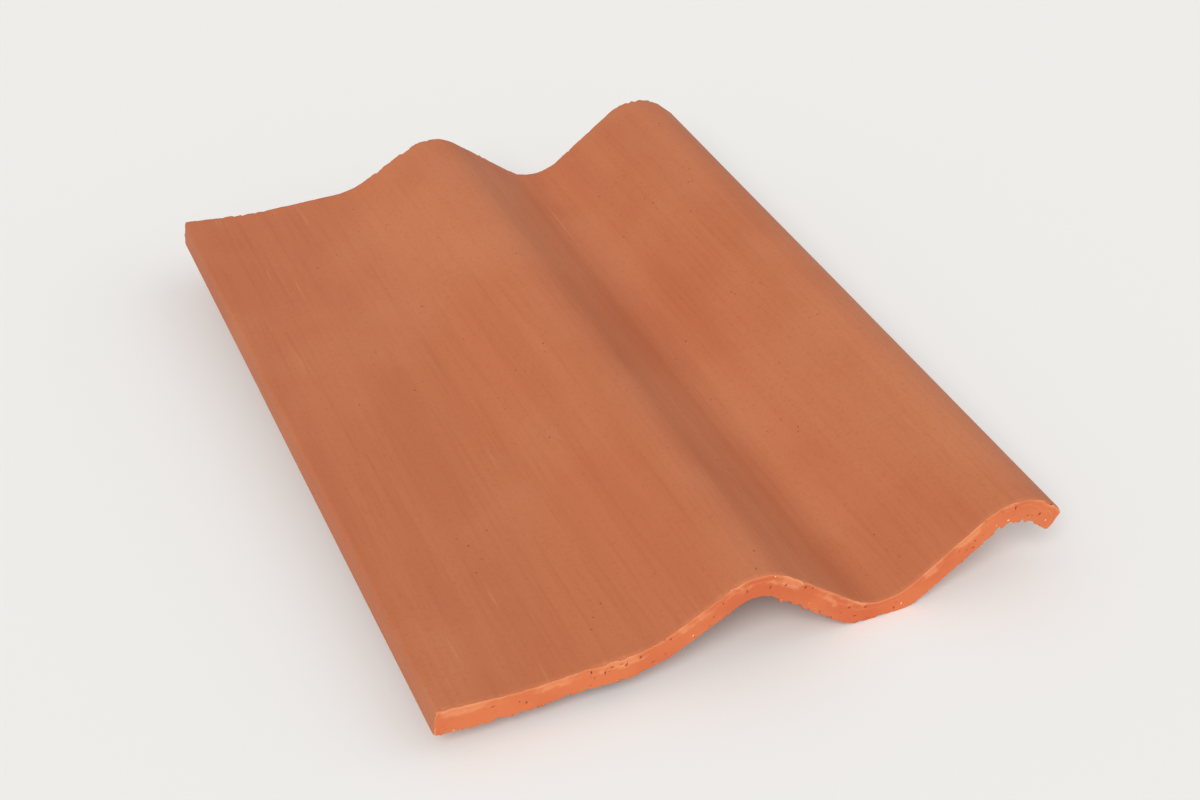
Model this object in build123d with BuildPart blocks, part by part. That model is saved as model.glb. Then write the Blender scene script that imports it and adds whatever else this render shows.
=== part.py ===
from build123d import *
import math
import os

# Clay roof tile, extruded through a die and wire-cut, lying weather side up.
# X runs across the tile with the hook at +X, Y runs from the tail to the head, Z is up.
# The origin is on the floor, below the middle of the tile's bounding box.

# Whole tile, millimetres and degrees
tile_length = 400.0
thickness = 12.0

# Wave of the weather face. The flanks are straight, and each pair of them would meet
# in a corner, given by its distance from the corner before it and its level.
hook_corner_level = 30.2
hook_to_channel = 65.2
channel_corner_level = -19.0
channel_to_roll = 62.0
roll_corner_level = 28.5
roll_to_pan = 49.0
pan_level = 0.5
pan_width = 61.0
lip_corner_level = -1.0
lip_width = 34.5
lip_edge_level = 2.5

# Beyond the pan the wall grows thicker towards the lip's edge
lip_swell_start = 26.0
lip_corner_thickness = 13.0
lip_edge_thickness = 14.4

# Bends between the flanks, measured on the weather face
hook_radius = 28.0
channel_radius = 25.0
roll_radius = 26.0
pan_radius = 41.0
lip_radius = 200.0

# Hook: how steeply its tip points down, and how far it runs on past the bend
hook_tip_slope = 41.5
hook_tip_run = 11.7
tip_outer_rounding = 5.0
tip_inner_rounding = 2.5
lip_rounding = 1.5

# Two ribs under the troughs, with rounded roots and feet. A knife takes them off,
# all but a nib at the head, and leaves a flat stub whose sides are the rounded roots.
channel_rib_width = 23.0
pan_rib_width = 18.0
pan_rib_offset = 16.0
rib_draft = 4.0
rib_root_depth = 4.0
rib_root_radius = 3.0
rib_foot_rounding = 1.5
channel_stub_level = -22.4
pan_stub_level = -12.9
nib_foot_level = -35.0
nib_length = 25.0
knife_clearance = 3.0

# Corners of the weather face, from the hook to the lip
hook_corner = Vector(0, hook_corner_level)
channel_corner = Vector(hook_to_channel, channel_corner_level)
roll_corner = Vector(channel_corner.X + channel_to_roll, roll_corner_level)
pan_corner = Vector(roll_corner.X + roll_to_pan, pan_level)
lip_corner = Vector(pan_corner.X + pan_width, lip_corner_level)
lip_edge = Vector(lip_corner.X + lip_width, lip_edge_level)

# The same places on the underside of the swelling lip
lip_direction = (lip_edge - lip_corner).normalized()
lip_swell = Vector(pan_corner.X + lip_swell_start, pan_level - thickness)
lip_belly = lip_corner - Vector(0, lip_corner_thickness)
lip_foot = lip_edge + Vector(lip_direction.Y, -lip_direction.X) * lip_edge_thickness

# The hook's tip stands where its bend ends, plus the short run
hook_flank = channel_corner - hook_corner
hook_turn = hook_tip_slope - math.degrees(math.atan2(hook_flank.Y, hook_flank.X))
hook_drop = hook_radius * math.tan(math.radians(hook_turn / 2)) + hook_tip_run
tip_direction = Vector(math.cos(math.radians(hook_tip_slope)), math.sin(math.radians(hook_tip_slope)))
hook_tip = hook_corner - tip_direction * hook_drop
hook_tip_underside = hook_tip + Vector(tip_direction.Y, -tip_direction.X) * thickness

# Section of the shell
with BuildSketch() as shell_section:
    with BuildLine():
        FilletPolyline(
            hook_tip,
            hook_corner,
            channel_corner,
            roll_corner,
            pan_corner,
            lip_corner,
            lip_edge,
            radius=[hook_radius, channel_radius, roll_radius, pan_radius, lip_radius],
        )
        offset(amount=thickness, side=Side.RIGHT)
    make_face()
    with BuildLine():
        FilletPolyline(lip_swell, lip_belly, lip_foot, radius=lip_radius)
        Polyline(lip_foot, lip_edge, lip_corner, lip_swell)
    make_face()
    fillet(shell_section.vertices().sort_by_distance(hook_tip)[0], radius=tip_outer_rounding)
    fillet(shell_section.vertices().sort_by_distance(hook_tip_underside)[0], radius=tip_inner_rounding)
    fillet(shell_section.vertices().sort_by(Axis.X)[-2:], radius=lip_rounding)

# Each rib: its middle, its width and the level at which the knife takes it off
ribs = (
    (channel_corner.X, channel_rib_width, channel_stub_level),
    (pan_corner.X + pan_rib_offset, pan_rib_width, pan_stub_level),
)

# Section with its two ribs, as it leaves the die
with BuildSketch() as die_section:
    add(shell_section.sketch)
    for rib_middle, rib_width, stub_level in ribs:
        with Locations((rib_middle, nib_foot_level)):
            Trapezoid(
                width=rib_width,
                height=stub_level + rib_root_depth - nib_foot_level,
                left_side_angle=90 + rib_draft,
                align=(Align.CENTER, Align.MIN),
            )
    for rib_middle, rib_width, stub_level in ribs:
        for flank in (rib_middle - rib_width / 2, rib_middle + rib_width / 2):
            root = Vector(flank, stub_level)
            foot = Vector(flank, nib_foot_level)
            fillet(die_section.vertices().sort_by_distance(root)[0], radius=rib_root_radius)
            fillet(die_section.vertices().sort_by_distance(foot)[0], radius=rib_foot_rounding)

# The tile rests on the channel's stub at the tail and on the two nibs at the head
knife_length = tile_length - nib_length
rest_slope = math.degrees(math.atan2(channel_stub_level - nib_foot_level, knife_length))
slope_sin = math.sin(math.radians(rest_slope))
slope_cos = math.cos(math.radians(rest_slope))
section_box = die_section.sketch.bounding_box()
tail_plane = Plane(
    origin=(
        section_box.center().X,
        (section_box.max.Y + section_box.min.Y) * slope_sin / 2 - tile_length * slope_cos / 2,
        -channel_stub_level * slope_cos,
    ),
    x_dir=(-1, 0, 0),
    z_dir=(0, slope_cos, slope_sin),
)

with BuildPart() as roof_tile:
    with BuildSketch(tail_plane):
        add(die_section.sketch)
    extrude(amount=tile_length)
    with BuildSketch(tail_plane):
        for rib_middle, rib_width, stub_level in ribs:
            with Locations((rib_middle, stub_level)):
                Rectangle(
                    rib_width + 2 * knife_clearance,
                    stub_level - nib_foot_level + knife_clearance,
                    align=(Align.CENTER, Align.MAX),
                )
    extrude(amount=knife_length, mode=Mode.SUBTRACT)

roof_tile.part.label = "roof_tile"
os.makedirs("parts", exist_ok=True)
export_step(roof_tile.part, "parts/roof_tile.step")
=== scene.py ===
"""Clay roof tile: the looks of one extruded, wire-cut and fired tile, lying weather side up."""

import logging
import math
from dataclasses import dataclass, field
from enum import Enum

import bpy
import numpy as np
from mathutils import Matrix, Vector


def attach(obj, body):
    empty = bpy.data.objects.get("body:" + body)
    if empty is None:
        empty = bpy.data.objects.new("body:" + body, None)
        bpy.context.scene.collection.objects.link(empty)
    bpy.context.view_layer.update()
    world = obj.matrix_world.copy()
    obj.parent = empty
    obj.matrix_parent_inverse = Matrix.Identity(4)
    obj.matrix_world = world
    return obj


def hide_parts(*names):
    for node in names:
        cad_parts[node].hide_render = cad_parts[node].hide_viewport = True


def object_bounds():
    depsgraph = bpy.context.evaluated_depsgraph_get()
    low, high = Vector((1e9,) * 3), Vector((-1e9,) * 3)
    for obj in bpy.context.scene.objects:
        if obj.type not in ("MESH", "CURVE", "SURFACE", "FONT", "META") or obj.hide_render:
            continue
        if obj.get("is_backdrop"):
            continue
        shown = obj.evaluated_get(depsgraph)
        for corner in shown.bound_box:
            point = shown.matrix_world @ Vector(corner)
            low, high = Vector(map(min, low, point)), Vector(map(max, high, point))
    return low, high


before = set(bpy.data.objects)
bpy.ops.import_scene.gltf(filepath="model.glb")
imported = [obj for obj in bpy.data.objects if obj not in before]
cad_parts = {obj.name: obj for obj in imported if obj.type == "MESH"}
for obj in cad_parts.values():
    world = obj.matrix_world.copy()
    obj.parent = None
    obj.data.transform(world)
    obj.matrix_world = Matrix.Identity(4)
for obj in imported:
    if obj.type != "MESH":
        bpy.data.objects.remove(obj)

LOG = logging.getLogger("scene")
NODE = "roof_tile"
BODY = "root"
MM = 0.001
TOUCH = 0.01 * MM
MIDDLE = (0.5, 0.5, 0.5)

Tone = tuple[float, float, float, float]
Triple = tuple[float, float, float]
Span = tuple[float, float]
Box = tuple[np.ndarray, np.ndarray]


class Zone(Enum):
    """Kinds of surface on the tile. Each value is the index of its material."""

    SKIN = 0
    CUT = 1
    TORN = 2


class Cut(Enum):
    """The two wire-cut ends of the tile: 0 where the rail starts, 1 where it stops."""

    TAIL = 0
    HEAD = 1

    @property
    def way_out(self) -> int:
        """The way out of the tile at this end: 1 along the rail, -1 against it."""
        return 2 * self.value - 1


class Mark(Enum):
    """Marks along the edges of a cut. Each value is added to the seed of their noise."""

    BURRS = 0
    NOTCHES = 4
    WEAR = 8
    NICKS = 12
    TEETH = 16
    PATCHES = 20
    WORN_PATCHES = 60


class Surface(Enum):
    """Surfaces on which loose matter lies."""

    EDGES_BELOW = "edges_below"
    EDGES_ABOVE = "edges_above"
    TORN = "torn"
    CUT = "cut"


# Noise


@dataclass(frozen=True)
class Noise:
    """Smooth lattice noise in two directions, the same for the same seed."""

    seed: int
    column_turn: float = 127.1
    row_turn: float = 311.7
    seed_turn: float = 74.7
    spread: float = 43758.5453
    seeds_apart: int = 17

    def _corner(self, column: np.ndarray, row: np.ndarray) -> np.ndarray:
        """Random value from -1 to 1 at each lattice corner.

        Args:
            column: number of the corner's column.
            row: number of its row.

        Returns:
            One value for each corner.
        """
        turn = column * self.column_turn + row * self.row_turn + self.seed * self.seed_turn
        mixed = np.sin(turn) * self.spread
        return 2 * (mixed - np.floor(mixed)) - 1

    def at(self, across: np.ndarray, along: np.ndarray) -> np.ndarray:
        """Samples the noise.

        Args:
            across: first coordinate, in lattice cells.
            along: second coordinate, in lattice cells.

        Returns:
            Values from -1 to 1, of the shape that the two coordinates share.
        """
        column, row = np.floor(across), np.floor(along)
        ease_x, ease_y = ease(across - column, 0, 1), ease(along - row, 0, 1)
        low, high = (
            self._corner(column, line) * (1 - ease_x) + self._corner(column + 1, line) * ease_x
            for line in (row, row + 1)
        )
        return low * (1 - ease_y) + high * ease_y

    def layered(self, across: np.ndarray, along: np.ndarray, layers: int = 3) -> np.ndarray:
        """Sums several finer and fainter layers of the noise.

        Args:
            across: first coordinate, in cells of the coarsest layer.
            along: second coordinate, in cells of the coarsest layer.
            layers: how many layers are added up.

        Returns:
            Values from about -1 to 1.
        """
        total = np.zeros(np.broadcast(across, along).shape)
        for layer in range(layers):
            scale = 2.0**layer
            finer = Noise(self.seed + self.seeds_apart * layer)
            total = total + finer.at(across * scale, along * scale) / scale
        return total / sum(0.5**layer for layer in range(layers))


def ease(values: np.ndarray, low: float, high: float) -> np.ndarray:
    """Smooth step from 0 at low to 1 at high."""
    part = np.clip((values - low) / (high - low), 0, 1)
    return part * part * (3 - 2 * part)


# Section


def rounded_path(corners: list[np.ndarray], radii: list[float], turn_step: float = 2.0) -> np.ndarray:
    """Straight runs between corners, joined by arcs.

    Args:
        corners: the points where the straight runs would meet, ends included.
        radii: radius of the arc at each corner between the ends.
        turn_step: degrees of turn between two points of an arc.

    Returns:
        The points of the path, one row each.
    """
    points = [corners[0]]
    for before, corner, after, radius in zip(corners, corners[1:], corners[2:], radii):
        arrive = (corner - before) / np.linalg.norm(corner - before)
        leave = (after - corner) / np.linalg.norm(after - corner)
        turn = math.atan2(arrive[0] * leave[1] - arrive[1] * leave[0], arrive @ leave)
        start = corner - arrive * radius * math.tan(abs(turn) / 2)
        spoke = np.array([arrive[1], -arrive[0]]) * math.copysign(radius, turn)
        steps = max(2, math.ceil(math.degrees(abs(turn)) / turn_step))
        for step in range(steps + 1):
            sine, cosine = math.sin(turn * step / steps), math.cos(turn * step / steps)
            turned = np.array([spoke[0] * cosine - spoke[1] * sine, spoke[0] * sine + spoke[1] * cosine])
            points.append(start - spoke + turned)
    points.append(corners[-1])
    return np.array(points)


def lengths_along(path: np.ndarray) -> np.ndarray:
    """Distance of each point of a path from its start."""
    return np.concatenate([[0], np.cumsum(np.linalg.norm(np.diff(path, axis=0), axis=1))])


def points_at(path: np.ndarray, places: np.ndarray) -> np.ndarray:
    """Points of a path at given distances from its start."""
    run = lengths_along(path)
    return np.column_stack([np.interp(places, run, path[:, axis]) for axis in (0, 1)])


def spaced(path: np.ndarray, count: int) -> np.ndarray:
    """The same path with a number of evenly spaced points."""
    return points_at(path, np.linspace(0, lengths_along(path)[-1], count))


def outward_of(outline: np.ndarray) -> np.ndarray:
    """Directions out of a closed outline, one at each of its points.

    Args:
        outline: the points of the outline, one row each.

    Returns:
        One direction for each point.
    """
    closed = np.vstack([outline[-1:], outline, outline[:1]])
    tangent = closed[2:] - closed[:-2]
    tangent /= np.linalg.norm(tangent, axis=1)[:, None]
    return np.column_stack([-tangent[:, 1], tangent[:, 0]])


@dataclass(frozen=True)
class Rib:
    """One rib under a trough: its middle, width and the level of its flat stub."""

    middle: float
    width: float
    stub_level: float


@dataclass(frozen=True)
class Section:
    """Section of the tile, with x from the hook to the lip and y upwards, in metres and degrees."""

    thickness: float = 12.0 * MM
    hook_corner_level: float = 30.2 * MM
    hook_to_channel: float = 65.2 * MM
    channel_corner_level: float = -19.0 * MM
    channel_to_roll: float = 62.0 * MM
    roll_corner_level: float = 28.5 * MM
    roll_to_pan: float = 49.0 * MM
    pan_level: float = 0.5 * MM
    pan_width: float = 61.0 * MM
    lip_corner_level: float = -1.0 * MM
    lip_width: float = 34.5 * MM
    lip_edge_level: float = 2.5 * MM
    lip_swell_start: float = 26.0 * MM
    lip_corner_thickness: float = 13.0 * MM
    lip_edge_thickness: float = 14.4 * MM
    hook_radius: float = 28.0 * MM
    channel_radius: float = 25.0 * MM
    roll_radius: float = 26.0 * MM
    pan_radius: float = 41.0 * MM
    lip_radius: float = 200.0 * MM
    hook_tip_slope: float = 41.5
    hook_tip_run: float = 11.7 * MM
    tip_outer_rounding: float = 5.0 * MM
    tip_inner_rounding: float = 2.5 * MM
    lip_rounding: float = 1.5 * MM
    channel_rib_width: float = 23.0 * MM
    pan_rib_width: float = 18.0 * MM
    pan_rib_offset: float = 16.0 * MM
    channel_stub_level: float = -22.4 * MM
    pan_stub_level: float = -12.9 * MM
    rib_root_radius: float = 3.0 * MM
    nib_root_radius: float = 2.1 * MM
    nib_root_share: float = 0.25
    nib_clearance: float = 0.9 * MM
    rib_foot_rounding: float = 1.5 * MM
    rib_draft: float = 4.0
    nib_foot_level: float = -35.0 * MM
    column_step: float = 0.72 * MM
    rib_column_step: float = 0.52 * MM
    fine_points: int = 6000
    layers_across: int = 18
    corner_turn: float = 8.0
    lip_turn: float = 15.0
    rounding_fit: float = 0.999

    def corners(self) -> list[np.ndarray]:
        """Corners of the weather face, from the hook's tip to the lip's edge.

        Returns:
            Seven points: hook tip, hook, channel, roll, pan, lip and lip edge.
        """
        hook = np.array([0.0, self.hook_corner_level])
        channel = np.array([self.hook_to_channel, self.channel_corner_level])
        roll = np.array([channel[0] + self.channel_to_roll, self.roll_corner_level])
        pan = np.array([roll[0] + self.roll_to_pan, self.pan_level])
        lip = np.array([pan[0] + self.pan_width, self.lip_corner_level])
        edge = np.array([lip[0] + self.lip_width, self.lip_edge_level])
        flank = channel - hook
        slope = math.radians(self.hook_tip_slope)
        turn = slope - math.atan2(flank[1], flank[0])
        drop = self.hook_radius * math.tan(turn / 2) + self.hook_tip_run
        tip = hook - np.array([math.cos(slope), math.sin(slope)]) * drop
        return [tip, hook, channel, roll, pan, lip, edge]

    def ribs(self) -> tuple[Rib, Rib]:
        """The rib under the channel and the rib under the pan.

        Returns:
            The two ribs, the channel's first.
        """
        channel, pan = self.corners()[2], self.corners()[4]
        return (
            Rib(channel[0], self.channel_rib_width, self.channel_stub_level),
            Rib(pan[0] + self.pan_rib_offset, self.pan_rib_width, self.pan_stub_level),
        )

    def weather_path(self) -> np.ndarray:
        """Fine path of the weather face, without the rounded ends.

        Returns:
            The points of the path, one row each.
        """
        radii = [self.hook_radius, self.channel_radius, self.roll_radius, self.pan_radius, self.lip_radius]
        path = rounded_path(self.corners(), radii)
        end = lengths_along(path)[-1] - self.lip_rounding
        return points_at(path, np.linspace(self.tip_outer_rounding, end, self.fine_points))

    def swell_path(self) -> np.ndarray:
        """Underside of the swelling lip.

        Returns:
            The points of its path, one row each.
        """
        pan, lip, edge = self.corners()[4:]
        direction = (edge - lip) / np.linalg.norm(edge - lip)
        start = np.array([pan[0] + self.lip_swell_start, self.pan_level - self.thickness])
        belly = lip - np.array([0, self.lip_corner_thickness])
        foot = edge + np.array([direction[1], -direction[0]]) * self.lip_edge_thickness
        return rounded_path([start, belly, foot], [self.lip_radius])

    def columns(self) -> "Columns":
        """Pairs each point of the weather face with one on the underside.

        Returns:
            The paired points, with the underside plain, with cut stubs and with whole nibs.
        """
        weather = self.weather_path()
        tangent = np.gradient(weather, axis=0)
        tangent /= np.linalg.norm(tangent, axis=1)[:, None]
        below = weather + np.column_stack([tangent[:, 1], -tangent[:, 0]]) * self.thickness
        swell = self.swell_path()
        lip_side = below[:, 0] > swell[0, 0]
        swollen = np.interp(below[lip_side, 0], swell[:, 0], swell[:, 1])
        shell = below.copy()
        shell[lip_side, 1] = np.minimum(below[lip_side, 1], swollen)

        run = lengths_along(weather)
        density = np.full(len(run), 1 / self.column_step)
        for rib in self.ribs():
            reach = rib.width / 2 + self.rib_root_radius + self.column_step
            density[np.abs(below[:, 0] - rib.middle) < reach] = 1 / self.rib_column_step
        filled = np.concatenate([[0], np.cumsum((density[1:] + density[:-1]) / 2 * np.diff(run))])
        wanted = np.interp(np.linspace(0, filled[-1], round(filled[-1]) + 1), filled, run)
        face, plain = (
            np.column_stack([np.interp(wanted, run, path[:, axis]) for axis in (0, 1)])
            for path in (weather, shell)
        )
        stub, nib = plain.copy(), plain.copy()
        torn, ribbed = np.zeros(len(face), bool), np.zeros(len(face), bool)
        for rib in self.ribs():
            inside = np.abs(plain[:, 0] - rib.middle) < rib.width / 2 + self.rib_root_radius
            ribbed |= inside
            torn |= self._cut_stub(rib, stub, inside)
            self._keep_nib(rib, nib, np.flatnonzero(inside))
        return Columns(self, face, plain, stub, nib, torn, ribbed)

    def _cut_stub(self, rib: Rib, stub: np.ndarray, inside: np.ndarray) -> np.ndarray:
        """Gives the stub its rounded roots and its flat, and returns where it is flat.

        Args:
            rib: the rib that the knife takes off.
            stub: the points of the underside, which are moved.
            inside: which of them belong to the rib and its roots.

        Returns:
            One flag for each point.
        """
        beside = np.abs(stub[:, 0] - rib.middle) - rib.width / 2
        radius = self.rib_root_radius
        gap = np.clip(beside, 0, radius)
        root = radius - np.sqrt(radius**2 - (radius - gap) ** 2)
        level = np.where(beside <= 0, self.nib_foot_level, stub[:, 1] - root)
        stub[inside, 1] = np.maximum(level, rib.stub_level)[inside]
        return inside & (level <= rib.stub_level)

    def _keep_nib(self, rib: Rib, nib: np.ndarray, where: np.ndarray) -> None:
        """Leads the columns under a rib round the outline of the whole nib.

        Args:
            rib: the rib that stays whole.
            nib: the points of the underside, which are moved.
            where: the numbers of those that belong to the rib and its roots.
        """
        first, last = nib[where[0]].copy(), nib[where[-1]].copy()
        top = np.interp(rib.middle, [first[0], last[0]], [first[1], last[1]])
        half = rib.width / 2
        wide = half + math.tan(math.radians(self.rib_draft)) * (top - self.nib_foot_level)
        root, foot = self.nib_root_radius, self.rib_foot_rounding
        start, stop = (side[1] + (top - side[1]) * self.nib_root_share for side in (first, last))
        outline = rounded_path(
            [
                first,
                np.array([rib.middle - wide, start]),
                np.array([rib.middle - half, self.nib_foot_level]),
                np.array([rib.middle + half, self.nib_foot_level]),
                np.array([rib.middle + wide, stop]),
                last,
            ],
            [root, foot, foot, root],
            self.corner_turn,
        )
        run, turned = lengths_along(outline), len(outline) // 2
        beside, clear = nib[where, 0] - rib.middle, wide + self.nib_clearance
        places = np.full(len(where), np.nan)
        for side, part in ((beside <= -clear, slice(None, turned)), (beside >= clear, slice(turned, None))):
            places[side] = np.interp(nib[where[side], 0], outline[part, 0], run[part])
        known = np.flatnonzero(~np.isnan(places))
        nib[where] = points_at(outline, np.interp(np.arange(len(where)), known, places[known]))


@dataclass
class Columns:
    """Points of the section: weather face, then the underside plain, with stubs and with nibs."""

    section: Section
    face: np.ndarray
    plain: np.ndarray
    stub: np.ndarray
    nib: np.ndarray
    torn: np.ndarray
    ribbed: np.ndarray

    def end_curves(self) -> tuple[np.ndarray, np.ndarray]:
        """The rounded hook tip and the rounded lip edge, from the weather face to the underside.

        Returns:
            The two curves, their ends included, with evenly spaced points.
        """
        sizes = self.section
        tip, hook, *_, edge = sizes.corners()
        along = (hook - tip) / np.linalg.norm(hook - tip)
        tip_inner = tip + np.array([along[1], -along[0]]) * sizes.thickness
        tip_radius, lip_radius = (
            radius * sizes.rounding_fit for radius in (sizes.tip_outer_rounding, sizes.lip_rounding)
        )
        hook_curve = rounded_path(
            [self.face[0], tip, tip_inner, self.stub[0]],
            [tip_radius, sizes.tip_inner_rounding],
            sizes.corner_turn,
        )
        lip_curve = rounded_path(
            [self.face[-1], edge, sizes.swell_path()[-1], self.stub[-1]],
            [lip_radius, lip_radius],
            sizes.lip_turn,
        )
        return spaced(hook_curve, sizes.layers_across + 1), spaced(lip_curve, sizes.layers_across + 1)

    def ring(self, end: Cut) -> np.ndarray:
        """One closed outline: weather face, lip edge, underside back to the hook, hook tip.

        Args:
            end: which end of the tile it is.

        Returns:
            The points of the outline, one row each.
        """
        hook, lip = self.end_curves()
        underside = self.nib if end is Cut.HEAD else self.stub
        return np.vstack([self.face, lip[1:-1], underside[::-1], hook[-2:0:-1]])


class CutPlan:
    """Numbers the points of a cut end: first its outline, then its inside, column by column."""

    def __init__(self, columns: Columns) -> None:
        """Lays the numbers out as a grid of columns and layers.

        Args:
            columns: the paired points of the section.
        """
        self.columns = columns
        self.layers = columns.section.layers_across
        count = len(columns.face)
        inside = (count - 2) * (self.layers - 1)
        self.outline = 2 * (count + self.layers - 1)
        self.size = self.outline + inside
        self.above = slice(0, count)
        self.below = slice(count + self.layers - 1, 2 * count + self.layers - 1)
        self.grid = np.zeros((count, self.layers + 1), int)
        self.grid[:, 0] = np.arange(count)
        self.grid[:, -1] = np.arange(self.outline)[self.below][::-1]
        self.grid[-1, 1:-1] = count + np.arange(self.layers - 1)
        self.grid[0, 1:-1] = self.outline - 1 - np.arange(self.layers - 1)
        self.grid[1:-1, 1:-1] = self.outline + np.arange(inside).reshape(count - 2, -1)
        self.share = (np.arange(1, self.layers) / self.layers)[None, :, None]

    def cells(self) -> np.ndarray:
        """The faces of the grid, four points each."""
        grid = self.grid
        return np.stack([grid[:-1, :-1], grid[1:, :-1], grid[1:, 1:], grid[:-1, 1:]], axis=-1).reshape(-1, 4)

    def marked(self, where: slice, flags: np.ndarray | bool = True) -> np.ndarray:
        """Flags on one stretch of the outline, and none on the rest of the points.

        Args:
            where: the stretch of the outline.
            flags: one flag for each of its points, or one for them all.

        Returns:
            One flag for each point of the cut.
        """
        marks = np.zeros(self.size, bool)
        marks[where] = flags
        return marks

    def places(self, end: Cut, knee_share: float) -> np.ndarray:
        """Where the points lie on the section, on lines that fan out into the nibs.

        Args:
            end: which end it is.
            knee_share: share of the wall after which the lines fan out.

        Returns:
            One row for each point.
        """
        columns = self.columns
        outline = columns.ring(end)
        top, base = outline[self.grid[1:-1, :1]], outline[self.grid[1:-1, -1:]]
        knee = top + (base - top) * knee_share
        if end is Cut.HEAD:
            fan = columns.face + (columns.plain - columns.face) * knee_share
            knee = np.where(columns.ribbed[1:-1, None, None], fan[1:-1, None, :], knee)
        first = np.linalg.norm(knee - top, axis=2, keepdims=True)
        turn = first / (first + np.linalg.norm(base - knee, axis=2, keepdims=True))
        early = top + (knee - top) * self.share / turn
        late = knee + (base - knee) * (self.share - turn) / (1 - turn)
        return np.vstack([outline, np.where(self.share < turn, early, late).reshape(-1, 2)])

    def spread(self, moves: np.ndarray) -> np.ndarray:
        """Moves of the outline, carried across the inside from one face to the other."""
        top, base = moves[self.grid[1:-1, :1]], moves[self.grid[1:-1, -1:]]
        return np.vstack([moves, (top * (1 - self.share) + base * self.share).reshape(-1, moves.shape[1])])

    def depths(self, points: np.ndarray) -> np.ndarray:
        """Distance of each point inside or below from the weather face, zero on the rest.

        Args:
            points: where the points lie, one row each.

        Returns:
            One distance for each point.
        """
        depth = np.zeros(self.size)
        start = points[self.grid[:, :1]]
        depth[self.grid[1:-1, 1:-1]] = np.linalg.norm(points[self.grid[1:-1, 1:-1]] - start[1:-1], axis=2)
        depth[self.grid[:, -1]] = np.linalg.norm(points[self.grid[:, -1]] - start[:, 0], axis=1)
        return depth


# Relief


@dataclass(frozen=True)
class SkinRelief:
    """Faint marks that the die leaves along the tile, in metres."""

    streak_height: float = 0.10 * MM
    streak_width: float = 2.4 * MM
    streak_length: float = 160 * MM
    warp_height: float = 0.22 * MM
    warp_width: float = 70 * MM
    warp_length: float = 130 * MM
    sunk: float = 0.6
    streak_seed: int = 11
    warp_seed: int = 16

    def height(self, run: np.ndarray, along: np.ndarray) -> np.ndarray:
        """Height of the skin above its nominal face.

        Args:
            run: distance along the section.
            along: distance from the tail.

        Returns:
            Outward heights, most of them below zero.
        """
        streak = Noise(self.streak_seed).layered(run / self.streak_width, along / self.streak_length, 3)
        warp = Noise(self.warp_seed).layered(run / self.warp_width, along / self.warp_length, 2)
        return self.streak_height * (streak - self.sunk) + self.warp_height * (warp - self.sunk)


@dataclass(frozen=True)
class TornRelief:
    """Rough surface that the knife tears along the stubs, in metres."""

    drag_height: float = 0.35 * MM
    drag_width: float = 2.6 * MM
    drag_length: float = 42 * MM
    chatter_height: float = 0.18 * MM
    chatter_width: float = 3.5 * MM
    chatter_length: float = 15 * MM
    tear_depth: float = 0.7 * MM
    tear_width: float = 3.4 * MM
    tear_length: float = 26 * MM
    tear_onset: Span = (0.25, 0.6)
    sunk: float = 0.5
    drag_seed: int = 31
    chatter_seed: int = 34
    tear_seed: int = 40

    def height(self, run: np.ndarray, along: np.ndarray) -> np.ndarray:
        """Height of the torn face above the knife's plane.

        Args:
            run: distance along the section.
            along: distance from the tail.

        Returns:
            Outward heights, most of them below zero.
        """
        drag = Noise(self.drag_seed).layered(run / self.drag_width, along / self.drag_length, 3)
        chatter = Noise(self.chatter_seed).at(run / self.chatter_width, along / self.chatter_length)
        tears = Noise(self.tear_seed).layered(run / self.tear_width, along / self.tear_length, 2)
        torn_out = self.tear_depth * ease(tears, *self.tear_onset)
        return self.drag_height * (drag - self.sunk) + self.chatter_height * chatter - torn_out


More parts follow.
